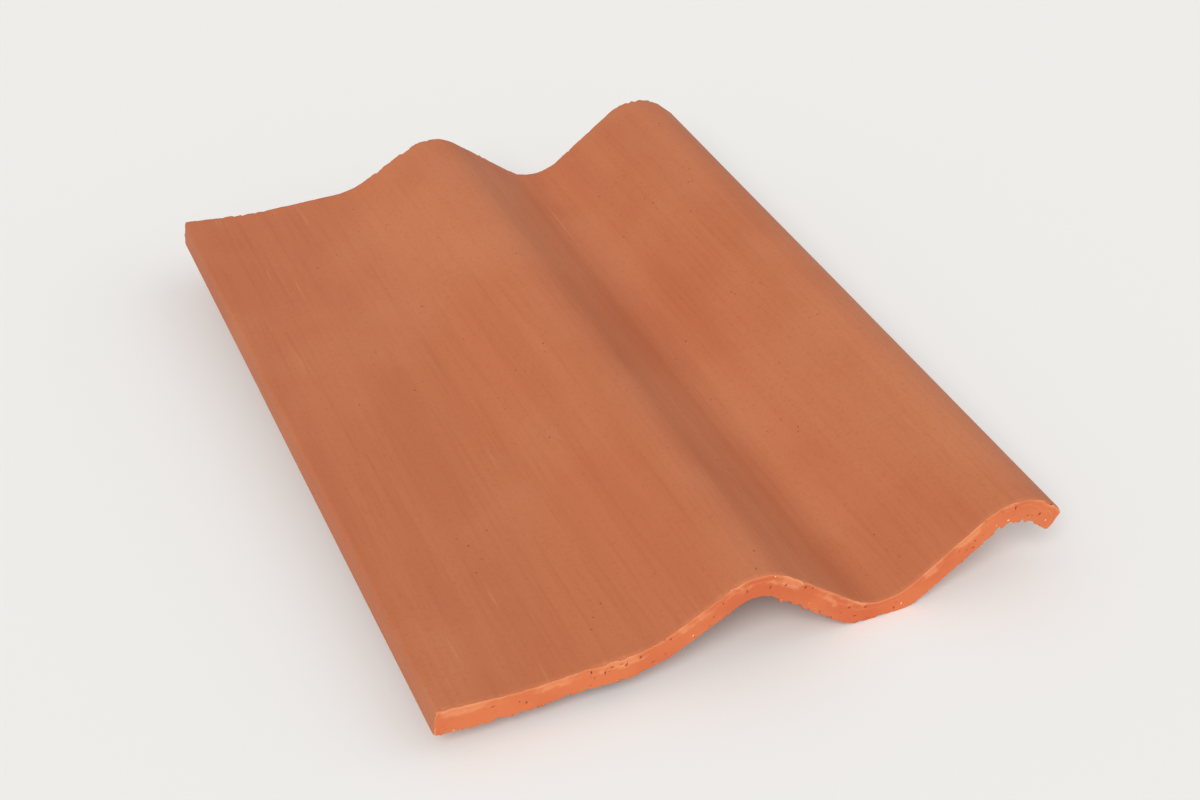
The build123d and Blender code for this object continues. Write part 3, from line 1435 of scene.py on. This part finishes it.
@dataclass
class CrumbLayer:
    """Small lumps of clay left on a surface, scattered by Geometry Nodes.

    Its density is in lumps for each square metre, and its turns and tilts are in radians.
    """

    name: str
    surface: Surface
    material: bpy.types.Material
    seed: int
    density: float
    sizes_in_mm: Span
    rarity: float
    flatness: float
    clump_size: float
    stretch: float = 1.0
    turn: float = math.tau
    tilt: Span = (0.15, 0.5)
    clump_edge: Span = (0.40, 0.66)
    lump_sides: int = 7
    lump_rings: int = 5
    lump_scale: float = 1.9
    lump_roughness: float = 0.7
    lump_push: float = 2.2
    slimmest: Triple = (0.6, 0.6, 0.6)
    fattest: Triple = (1.5, 1.2, 1.1)

    def _values(self) -> dict[str, object]:
        """What the node group's named inputs get.

        Returns:
            The inputs' names, each with its value.
        """
        return {
            "Density": self.density,
            "Smallest": self.sizes_in_mm[0] * MM,
            "Largest": self.sizes_in_mm[1] * MM,
            "Rarity": self.rarity,
            "Flatness": self.flatness,
            "Clumps": 1 / self.clump_size,
            "Stretch": self.stretch,
            "Turn": self.turn,
            "Seed": self.seed,
            "Material": self.material,
        }

    def _lump(self, graph: Graph) -> bpy.types.NodeSocket:
        """One irregular lump, about two units across.

        Args:
            graph: the node group's graph.

        Returns:
            The lump.
        """
        sizes = {"Segments": self.lump_sides, "Rings": self.lump_rings, "Radius": 1.0}
        ball = graph.first("GeometryNodeMeshUVSphere", {}, sizes)
        bumps = {"Scale": self.lump_scale, "Detail": 3.0, "Roughness": self.lump_roughness}
        grain = graph.node("ShaderNodeTexNoise", {"noise_dimensions": "3D"}, bumps).outputs["Color"]
        push = graph.vectors("SCALE", graph.vectors("SUBTRACT", grain, MIDDLE), self.lump_push)
        return graph.first("GeometryNodeSetPosition", {}, {"Geometry": ball, "Offset": push})

    def _sizes(self, graph: Graph, given: bpy.types.NodeOutputs) -> bpy.types.NodeSocket:
        """Random sizes, with large lumps the rarer the higher the rarity.

        Args:
            graph: the node group's graph.
            given: the group's inputs.

        Returns:
            The scale of each lump in three directions.
        """
        limits = {"Min_001": 0.0, "Max_001": 1.0, "Seed": given["Seed"]}
        drawn = graph.node("FunctionNodeRandomValue", {"data_type": "FLOAT"}, limits)
        chance = graph.output(drawn, "Value_001")
        smallest, largest = Value(graph, given["Smallest"]), Value(graph, given["Largest"])
        size = smallest + (largest - smallest) * chance ** Value(graph, given["Rarity"])
        shape = graph.first(
            "FunctionNodeRandomValue",
            {"data_type": "FLOAT_VECTOR"},
            {"Min": self.slimmest, "Max": self.fattest, "Seed": given["Seed"]},
        )
        flat = graph.combined(1.0, given["Stretch"], given["Flatness"])
        return graph.vectors("SCALE", graph.vectors("MULTIPLY", shape, flat), size)

    def _turns(
        self, graph: Graph, given: bpy.types.NodeOutputs, seat: bpy.types.NodeSocket
    ) -> bpy.types.NodeSocket:
        """Random turns and slight tilts, from lying along the tile.

        Args:
            graph: the node group's graph.
            given: the group's inputs.
            seat: how a lump would lie flat on the surface.

        Returns:
            The rotation of each lump.
        """
        most = graph.combined(*self.tilt, given["Turn"])
        turn = graph.first(
            "FunctionNodeRandomValue",
            {"data_type": "FLOAT_VECTOR"},
            {"Min": (0.0, 0.0, 0.0), "Max": most, "Seed": given["Seed"]},
        )
        aligned = graph.first(
            "FunctionNodeAlignRotationToVector",
            {"axis": "Y", "pivot_axis": "Z"},
            {"Rotation": seat, "Vector": (0.0, 1.0, 0.0)},
        )
        inputs = {"Rotation": aligned, "Rotate By": turn}
        return graph.first("FunctionNodeRotateRotation", {"rotation_space": "LOCAL"}, inputs)

    def _group(self) -> bpy.types.NodeTree:
        """Builds the node group that scatters the lumps.

        Returns:
            The node group.
        """
        kinds = {"Seed": "Int", "Material": "Material"}
        inputs = {label: kinds.get(label, "Float") for label in self._values()}
        graph, given = geometry_group(self.name + "_scatter", inputs)
        clumps = graph.noise(None, given["Clumps"], detail=2.0).between(*self.clump_edge)
        density = clumps * Value(graph, given["Density"])
        points = graph.node(
            "GeometryNodeDistributePointsOnFaces",
            {"distribute_method": "RANDOM"},
            {"Mesh": given["Geometry"], "Density": density, "Seed": given["Seed"]},
        )
        placed = graph.first(
            "GeometryNodeInstanceOnPoints",
            {},
            {
                "Points": points.outputs["Points"],
                "Instance": self._lump(graph),
                "Rotation": self._turns(graph, given, points.outputs["Rotation"]),
                "Scale": self._sizes(graph, given),
            },
        )
        finish_group(graph, placed, given["Material"])
        return graph.tree

    def scatter(self, host: bpy.types.Object, box: Box) -> bpy.types.Object:
        """Scatters the lumps over a helper object, which is used up.

        Args:
            host: the surface on which the lumps lie.
            box: lowest and highest corner of the plain part.

        Returns:
            A plain mesh object with all the lumps.
        """
        mesh = run_group(host, self._group(), self._values())
        dress(mesh, self.material)
        points = np.empty(len(mesh.vertices) * 3, np.float32)
        mesh.vertices.foreach_get("co", points)
        keep_inside(mesh, points.reshape(-1, 3), box)
        return add_object(self.name, mesh)


# Finishes


def rgb(red: float, green: float, blue: float) -> Tone:
    """A colour given as it looks on a screen, as the linear colour that a shader takes.

    Args:
        red: how much red the screen shows, from 0 to 1.
        green: how much green.
        blue: how much blue.

    Returns:
        The linear colour, with nothing see-through.
    """
    linear = [
        value / 12.92 if value <= 0.04045 else ((value + 0.055) / 1.055) ** 2.4
        for value in (red, green, blue)
    ]
    return (*linear, 1.0)


DEEP_ORANGE = rgb(0.810, 0.410, 0.255)
DULL_BROWN = rgb(0.688, 0.370, 0.230)
PALE_BROWN = rgb(0.800, 0.520, 0.365)
DARK_BROWN = rgb(0.480, 0.215, 0.130)
RED_BROWN = rgb(0.650, 0.310, 0.200)


@dataclass(frozen=True)
class Mottle:
    """Patches of a second tone that follow a noise.

    Its scale is in cells per metre, its edge is where in the noise the patches begin, and its relief
    and dullness are how far it moves the surface's height and its roughness.
    """

    tone: Tone
    scale: float
    edge: Span
    share: float = 1.0
    detail: float = 3.0
    roughness: float = 0.5
    along: float = 1.0
    relief: float = 0.0
    dullness: float = 0.0

    def noise(self, graph: Graph, place: bpy.types.NodeSocket) -> Value:
        """The noise, drawn out along the tile where along is below 1.

        Args:
            graph: the material's graph.
            place: where on the tile.

        Returns:
            From 0 to 1.
        """
        if self.along < 1.0:
            place = graph.drawn_out(place, self.along)
        return graph.noise(place, self.scale, self.detail, self.roughness)

    def mask(self, noise: Value) -> Value:
        """How much of the tone shows for a value of the noise."""
        return noise.between(*self.edge) * self.share

    def over(self, graph: Graph, colour: object, noise: Value) -> bpy.types.NodeSocket:
        """A colour with the patches over it."""
        return graph.mix(self.mask(noise), colour, self.tone)


@dataclass(frozen=True)
class Dots:
    """Ragged dots of a second tone, scattered within patches, with scales in cells per metre."""

    tone: Tone
    scale: float
    edge: Span
    patches: float
    patch_edge: Span
    patch_detail: float = 2.0
    share: float = 1.0
    relief: float = 0.0
    rags: float = 1300.0
    raggedness: float = 0.22

    def mask(self, graph: Graph, place: bpy.types.NodeSocket) -> Value:
        """From 0 beside the dots to 1 within them.

        Args:
            graph: the material's graph.
            place: where on the tile.

        Returns:
            The mask.
        """
        ragged = (graph.noise(place, self.rags, detail=2.0) - 0.5) * self.raggedness
        dots = 1.0 - (graph.cells(place, self.scale) + ragged).between(*self.edge)
        return dots * graph.noise(place, self.patches, self.patch_detail).between(*self.patch_edge)

    def over(self, graph: Graph, colour: object, mask: Value) -> bpy.types.NodeSocket:
        """A colour with the dots over it."""
        return graph.mix(mask * self.share, colour, self.tone)


@dataclass(frozen=True)
class Look:
    """What a finish gives its shader."""

    colour: bpy.types.NodeSocket
    height: Value
    roughness: Value | float


@dataclass(frozen=True)
class Finish:
    """Fired clay: what all its finishes share."""

    name: str
    roughness: float = 0.9
    gloss: float = 0.2
    bump_strength: float = 0.6
    bump_depth: float = 0.15 * MM

    def look(self, graph: Graph, place: bpy.types.NodeSocket) -> Look:
        """Colour, height and roughness at a place, left to each finish."""
        raise NotImplementedError

    def material(self) -> bpy.types.Material:
        """Builds the material.

        Returns:
            The material.
        """
        made = bpy.data.materials.new(self.name)
        made.use_nodes = True
        made.node_tree.nodes.clear()
        graph = Graph(made.node_tree)
        look = self.look(graph, graph.node("ShaderNodeTexCoord").outputs["Object"])
        relief = {"Strength": self.bump_strength, "Distance": self.bump_depth, "Height": look.height}
        surface = {
            "Base Color": look.colour,
            "Roughness": look.roughness,
            "Specular IOR Level": self.gloss,
            "Normal": graph.first("ShaderNodeBump", {}, relief),
        }
        shader = graph.first("ShaderNodeBsdfPrincipled", {}, surface)
        graph.node("ShaderNodeOutputMaterial", {}, {"Surface": shader})
        return made


@dataclass(frozen=True)
class Smears:
    """Clay that the wire smears along the weather edge: a band, flakes and strokes, in metres."""

    tone: Tone = rgb(0.915, 0.590, 0.405)
    relief: float = 0.45
    wobble_scale: float = 120.0
    wobble_height: float = 3.2 * MM
    band_edge: Span = (0.5 * MM, 1.5 * MM)
    band_share: float = 0.42
    flake_edge: Span = (4.2 * MM, 5.4 * MM)
    flake_wobble: float = 2.0
    flake_patch: Span = (0.50, 0.565)
    flake_share: float = 0.50
    stroke_depth: float = 3.4 * MM
    stroke_edge: Span = (0.2 * MM, 0.6 * MM)
    stroke_wobble: float = 1.4
    stroke_patch: Span = (0.40, 0.46)
    stroke_share: float = 0.22

    def mask(self, graph: Graph, place: bpy.types.NodeSocket, patch: Value) -> Value:
        """How strongly the clay is smeared.

        Args:
            graph: the material's graph.
            place: where on the tile.
            patch: noise that says in which places there are flakes and strokes.

        Returns:
            From 0 to 1.
        """
        rim = graph.attribute("rim")
        wobble = (graph.noise(place, self.wobble_scale) - 0.5) * self.wobble_height
        band = 1.0 - (rim + wobble).between(*self.band_edge)
        flakes = 1.0 - (rim + wobble * self.flake_wobble).between(*self.flake_edge)
        flakes = flakes * patch.between(*self.flake_patch)
        beside = (rim + wobble * self.stroke_wobble - self.stroke_depth).absolute()
        strokes = (1.0 - beside.between(*self.stroke_edge)) * patch.between(*self.stroke_patch)
        return (band * self.band_share + flakes * self.flake_share + strokes * self.stroke_share).clamped()


@dataclass(frozen=True)
class CutClay(Finish):
    """Matt wire-cut face: even orange, a paler smeared rim, faint mottling, pits darkened by painted shade,
    and grit.
    """

    name: str = "clay_cut"
    roughness: float = 0.88
    gloss: float = 0.25
    bump_strength: float = 0.75
    bump_depth: float = 0.35 * MM
    main: Tone = rgb(0.850, 0.468, 0.290)
    broad: Mottle = Mottle(DEEP_ORANGE, 24.0, (0.38, 0.64))
    fine: Mottle = Mottle(DEEP_ORANGE, 900.0, (0.54, 0.74), 0.28, detail=4.0, roughness=0.65, relief=0.35)
    smears: Smears = Smears()
    patch_scale: float = 58.0
    patch_relief: float = 0.3
    # Painted shade: the holes are coloured dark red-brown as well as sunk by the bump.
    holes: Dots = Dots(rgb(0.50, 0.19, 0.11), 330.0, (0.10, 0.20), 150.0, (0.58, 0.64), share=0.8, relief=1.1)
    pit_edge: Span = (0.42, 0.80)
    pit_rags: float = 2200.0
    pit_raggedness: float = 0.7
    grit: Dots = Dots(rgb(0.97, 0.82, 0.64), 240.0, (0.08, 0.13), 62.0, (0.64, 0.68), patch_detail=1.0)

    def _shaded_holes(self, graph: Graph, place: bpy.types.NodeSocket) -> Value:
        """Where grit left a hole, to be darkened with painted shade: the modelled pits and smaller, rarer
        ones.

        Args:
            graph: the material's graph.
            place: where on the tile.

        Returns:
            From 0 to 1.
        """
        ragged = (graph.noise(place, self.pit_rags, detail=2.0) - 0.5) * self.pit_raggedness
        pits = (graph.attribute("pit") + ragged).between(*self.pit_edge)
        return (self.holes.mask(graph, place) + pits).clamped()

    def look(self, graph: Graph, place: bpy.types.NodeSocket) -> Look:
        """Colour, height and roughness of the cut face.

        Args:
            graph: the material's graph.
            place: where on the tile.

        Returns:
            What the shader gets.
        """
        patch, fine = graph.noise(place, self.patch_scale), self.fine.noise(graph, place)
        smears, holes = self.smears.mask(graph, place, patch), self._shaded_holes(graph, place)
        colour = self.broad.over(graph, self.main, self.broad.noise(graph, place))
        colour = graph.mix(smears, colour, self.smears.tone)
        colour = self.fine.over(graph, colour, fine)
        # Painted shade: darkens the modelled pits and the smaller holes.
        colour = self.holes.over(graph, colour, holes)
        colour = self.grit.over(graph, colour, self.grit.mask(graph, place))
        relief = fine * self.fine.relief + patch * self.patch_relief - holes * self.holes.relief
        return Look(colour, relief + smears * self.smears.relief, self.roughness)


@dataclass(frozen=True)
class SkinClay(Finish):
    """Die-smoothed skin: duller and browner than the cut, with faint streaks along the tile."""

    name: str = "clay_skin"
    roughness: float = 0.61
    gloss: float = 0.32
    bump_strength: float = 0.7
    bump_depth: float = 0.3 * MM
    main: Tone = rgb(0.752, 0.438, 0.285)
    wide: Mottle = Mottle(DULL_BROWN, 60.0, (0.34, 0.70), 0.34, along=0.06)
    lines: Mottle = Mottle(
        DULL_BROWN, 420.0, (0.46, 0.72), 0.32, detail=4.0, roughness=0.6, along=0.010, relief=0.6
    )
    cloud: Mottle = Mottle(PALE_BROWN, 9.0, (0.40, 0.68), 0.38, detail=4.0, dullness=0.10)
    scuffs: Mottle = Mottle(PALE_BROWN, 300.0, (0.66, 0.74), 0.38, detail=2.0, along=0.03)
    scuffed: Mottle = Mottle(PALE_BROWN, 22.0, (0.50, 0.62), detail=2.0)
    grain: Mottle = Mottle(
        DULL_BROWN, 420.0, (0.50, 0.72), 0.32, detail=4.0, roughness=0.7, relief=0.35, dullness=0.08
    )
    dots: Dots = Dots(DARK_BROWN, 170.0, (0.05, 0.12), 33.0, (0.50, 0.66), share=0.6, relief=0.6)
    fine: Mottle = Mottle(DARK_BROWN, 1500.0, (0.50, 0.74), 0.14, roughness=0.6, relief=0.25)

    def look(self, graph: Graph, place: bpy.types.NodeSocket) -> Look:
        """Colour, height and roughness of the skin.

        Args:
            graph: the material's graph.
            place: where on the tile.

        Returns:
            What the shader gets.
        """
        lines, cloud, grain, fine = (
            mottle.noise(graph, place) for mottle in (self.lines, self.cloud, self.grain, self.fine)
        )
        scuffs, scuffed = (mottle.mask(mottle.noise(graph, place)) for mottle in (self.scuffs, self.scuffed))
        dots = self.dots.mask(graph, place)
        colour = self.wide.over(graph, self.main, self.wide.noise(graph, place))
        colour = self.lines.over(graph, colour, lines)
        colour = self.cloud.over(graph, colour, cloud)
        colour = graph.mix(scuffs * scuffed, colour, self.scuffs.tone)
        colour = self.grain.over(graph, colour, grain)
        colour = self.dots.over(graph, colour, dots)
        colour = self.fine.over(graph, colour, fine)
        relief = lines * self.lines.relief + grain * self.grain.relief + fine * self.fine.relief
        roughness = cloud * self.cloud.dullness + grain * self.grain.dullness + self.roughness
        return Look(colour, relief - dots * self.dots.relief, roughness)


@dataclass(frozen=True)
class TornClay(Finish):
    """Torn stub: dark red-brown, streaked along the tile, with crumbly ridges made paler by painted light and
    clefts darkened by painted shade.
    """

    name: str = "clay_torn"
    roughness: float = 0.93
    bump_strength: float = 0.95
    bump_depth: float = 0.8 * MM
    deep: Tone = rgb(0.310, 0.100, 0.065)
    drag: Mottle = Mottle(
        rgb(0.470, 0.185, 0.115), 480.0, (0.36, 0.62), detail=5.0, roughness=0.7, along=0.07, relief=0.8
    )
    # Painted light: the ridges turn paler where their relief stands highest; the relief itself is real.
    lit_ridges: Mottle = Mottle(
        RED_BROWN, 620.0, (0.52, 0.64), 0.7, detail=5.0, roughness=0.7, along=0.30, relief=1.1
    )
    # Painted shade: the clefts between the ridges, where the relief is lowest, take the deep tone.
    shaded_clefts: Span = (0.34, 0.44)
    cleft_shade_share: float = 0.8
    cloud: Mottle = Mottle(RED_BROWN, 46.0, (0.50, 0.68), 0.45, along=0.4)
    skin: Tone = rgb(0.735, 0.405, 0.265)
    skin_scale: float = 190.0
    skin_along: float = 0.35
    skin_roughness: float = 0.65
    skin_middle: float = 0.42
    skin_reach: float = 4.5 * MM
    skin_edge: Span = (0.0, 0.18 * MM)
    skin_relief: float = 0.5

    def _skin(self, graph: Graph, place: bpy.types.NodeSocket) -> Value:
        """Where skin is left along the ragged sides of the stub.

        Args:
            graph: the material's graph.
            place: where on the tile.

        Returns:
            From 0 to 1.
        """
        drawn_out = graph.drawn_out(place, self.skin_along)
        ragged = graph.noise(drawn_out, self.skin_scale, 4.0, self.skin_roughness) - self.skin_middle
        return 1.0 - (graph.attribute("inset") - ragged * self.skin_reach).between(*self.skin_edge)

    def look(self, graph: Graph, place: bpy.types.NodeSocket) -> Look:
        """Colour, height and roughness of the torn stub.

        Args:
            graph: the material's graph.
            place: where on the tile.

        Returns:
            What the shader gets.
        """
        drag, lit_ridges = self.drag.noise(graph, place), self.lit_ridges.noise(graph, place)
        skin = self._skin(graph, place)
        colour = self.drag.over(graph, self.deep, drag)
        # Painted light on the raised ridges.
        colour = self.lit_ridges.over(graph, colour, lit_ridges)
        # Painted shade in the clefts between the ridges.
        colour = graph.mix((1.0 - lit_ridges.between(*self.shaded_clefts)) * self.cleft_shade_share, colour, self.deep)
        colour = self.cloud.over(graph, colour, self.cloud.noise(graph, place))
        colour = graph.mix(skin, colour, self.skin)
        relief = drag * self.drag.relief + lit_ridges * self.lit_ridges.relief + skin * self.skin_relief
        return Look(colour, relief, self.roughness)


@dataclass(frozen=True)
class CrumbClay(Finish):
    """Small lumps of orange clay, mottled between two tones."""

    name: str = "clay_crumb"
    main: Tone = rgb(0.85, 0.48, 0.31)
    other: Tone = rgb(0.74, 0.36, 0.22)
    mottle_scale: float = 220.0
    mottle_edge: Span = (0.38, 0.62)
    grain_scale: float = 2600.0

    def look(self, graph: Graph, place: bpy.types.NodeSocket) -> Look:
        """Colour, height and roughness of the lumps.

        Args:
            graph: the material's graph.
            place: where on the tile.

        Returns:
            What the shader gets.
        """
        mottle = graph.noise(place, self.mottle_scale, detail=2.0).between(*self.mottle_edge)
        grain = graph.noise(place, self.grain_scale, detail=2.0)
        return Look(graph.mix(mottle, self.main, self.other), grain, self.roughness)


@dataclass(frozen=True)
class ShardClay(CrumbClay):
    """Dark shards of clay, torn out of the stubs."""

    name: str = "clay_crumb_dark"
    main: Tone = rgb(0.47, 0.19, 0.12)
    other: Tone = rgb(0.58, 0.27, 0.175)


@dataclass(frozen=True)
class Lime(CrumbClay):
    """Cream specks of lime in the clay."""

    name: str = "lime_speck"
    main: Tone = rgb(0.97, 0.86, 0.70)
    other: Tone = rgb(0.94, 0.72, 0.54)


# Studio


@dataclass(frozen=True)
class Lamp:
    """One wide, soft lamp far away: the direction it shines from, its spread and its strength."""

    name: str
    direction: Triple
    spread: float
    strength: float

    def build(self) -> bpy.types.Object:
        """Makes the lamp.

        Returns:
            The lamp.
        """
        data = bpy.data.lights.new(self.name, "SUN")
        data.angle = math.radians(self.spread)
        data.energy = self.strength
        made = add_object(self.name, data)
        made.location = self.direction
        made.rotation_euler = (-Vector(self.direction)).to_track_quat("-Z", "Y").to_euler()
        return made


@dataclass
class Studio:
    """Plain pale floor, soft lamps and the camera."""

    floor_colour: Tone = rgb(0.93, 0.925, 0.915)
    floor_reach: float = 30.0
    sky_colour: Tone = (1.0, 1.0, 1.0, 1.0)
    sky_strength: float = 0.50
    lamps: tuple[Lamp, ...] = (
        Lamp("key", (-1.1, -1.5, 1.7), 32.0, 2.0),
        Lamp("fill", (1.7, -0.9, 1.3), 60.0, 0.45),
    )
    target: Triple = (0.0, -0.030, 0.024)
    azimuth: float = -24.0
    elevation: float = 35.0
    distance: float = 0.925
    focal_length: float = 57.0
    sensor_width: float = 36.0
    clip_start: float = 0.05

    def _floor(self) -> bpy.types.Object:
        """Plain pale matt floor, which keeps the shadow.

        Returns:
            The floor.
        """
        made = bpy.data.materials.new("studio_floor")
        made.use_nodes = True
        shader = made.node_tree.nodes["Principled BSDF"]
        shader.inputs["Base Color"].default_value = self.floor_colour
        shader.inputs["Roughness"].default_value = 1.0
        shader.inputs["Specular IOR Level"].default_value = 0.0
        corners = np.array([(-1, -1, 0), (1, -1, 0), (1, 1, 0), (-1, 1, 0)]) * self.floor_reach
        floor = add_mesh("floor", corners, [], [(0, 1, 2, 3)])
        dress(floor.data, made)
        return floor

    def _sky(self) -> bpy.types.World:
        """Even white light all round, seen by the camera as a plain pale backdrop.

        Returns:
            The world.
        """
        world = bpy.data.worlds.new("studio")
        world.use_nodes = True
        world.node_tree.nodes.clear()
        graph = Graph(world.node_tree)
        even = {"Color": self.sky_colour, "Strength": self.sky_strength}
        light = graph.first("ShaderNodeBackground", {}, even)
        seen = graph.first("ShaderNodeBackground", {}, {"Color": self.floor_colour, "Strength": 1.0})
        ray = graph.node("ShaderNodeLightPath").outputs["Is Camera Ray"]
        both = graph.first("ShaderNodeMixShader", {}, {0: ray, 1: light, 2: seen})
        graph.node("ShaderNodeOutputWorld", {}, {"Surface": both})
        return world

    def _camera(self) -> bpy.types.Object:
        """The camera, at the photograph's height above the tile.

        Returns:
            The camera.
        """
        data = bpy.data.cameras.new("camera")
        data.lens = self.focal_length
        data.sensor_width = self.sensor_width
        data.clip_start = self.clip_start
        turn, lift = math.radians(self.azimuth), math.radians(self.elevation)
        back = Vector((math.sin(turn) * math.cos(lift), -math.cos(turn) * math.cos(lift), math.sin(lift)))
        camera = add_object("camera", data)
        camera.location = Vector(self.target) + back * self.distance
        camera.rotation_euler = (-back).to_track_quat("-Z", "Y").to_euler()
        return camera

    def build(self) -> None:
        """Makes the floor, the world, the lamps and the camera."""
        scene = bpy.context.scene
        self._floor()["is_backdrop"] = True
        scene.world = self._sky()
        for lamp in self.lamps:
            lamp.build()
        scene.camera = self._camera()
        scene.view_settings.view_transform = "Standard"


# Assembly


@dataclass
class RoofTile:
    """The dressed tile: its body and the crumbs on it."""

    body: TileBody = field(default_factory=TileBody)

    @staticmethod
    def _crumb_layers() -> list[CrumbLayer]:
        """The layers of crumbs, each with the surface it lies on.

        Returns:
            The layers, in the order in which they are scattered.
        """
        clay, dark, lime = (finish.material() for finish in (CrumbClay(), ShardClay(), Lime()))
        return [
            CrumbLayer(
                "edge_crumbs", Surface.EDGES_BELOW, clay, seed=5, density=520e3,
                sizes_in_mm=(0.14, 0.95), rarity=2.4, flatness=0.8, clump_size=22 * MM,
            ),
            CrumbLayer(
                "rim_crumbs", Surface.EDGES_ABOVE, clay, seed=6, density=190e3,
                sizes_in_mm=(0.12, 0.60), rarity=2.0, flatness=0.7, clump_size=30 * MM,
            ),
            CrumbLayer(
                "stub_crumbs", Surface.TORN, clay, seed=7, density=60e3,
                sizes_in_mm=(0.14, 0.85), rarity=3.0, flatness=0.6, clump_size=18 * MM,
            ),
            CrumbLayer(
                "stub_flakes", Surface.TORN, dark, seed=10, density=190e3,
                sizes_in_mm=(0.18, 0.60), rarity=1.6, flatness=0.5, clump_size=12 * MM,
                stretch=5.0, turn=0.25,
            ),
            CrumbLayer(
                "cut_crumbs", Surface.CUT, clay, seed=8, density=9e3,
                sizes_in_mm=(0.16, 0.65), rarity=2.0, flatness=0.5, clump_size=25 * MM,
            ),
            CrumbLayer(
                "lime_specks", Surface.CUT, lime, seed=9, density=3.6e3,
                sizes_in_mm=(0.20, 0.95), rarity=2.0, flatness=0.35, clump_size=30 * MM,
            ),
        ]

    def build(self, box: Box) -> list[bpy.types.Object]:
        """Builds and dresses every piece.

        Args:
            box: lowest and highest corner of the plain part.

        Returns:
            The finished pieces.
        """
        tile = self.body.build(box, [finish.material() for finish in (SkinClay(), CutClay(), TornClay())])
        crumbs = [layer.scatter(self.body.host(layer.surface), box) for layer in self._crumb_layers()]
        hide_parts(NODE)
        for piece in (tile, *crumbs):
            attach(piece, BODY)
        return [tile, *crumbs]


def corner_lists(corners: tuple[Vector, Vector]) -> list[list[float]]:
    """Two corners as plain lists of numbers."""
    return [[float(value) for value in corner] for corner in corners]


def main() -> None:
    """Builds the dressed tile and the studio, and reports each piece."""
    logging.basicConfig(level=logging.INFO, format="%(message)s")
    before = corner_lists(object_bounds())
    for piece in RoofTile().build(tuple(np.array(corner) for corner in before)):
        triangles = sum(len(face.vertices) - 2 for face in piece.data.polygons)
        LOG.info("%s: %d vertices, %d triangles", piece.name, len(piece.data.vertices), triangles)
    Studio().build()
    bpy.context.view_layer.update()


if __name__ == "__main__":
    main()
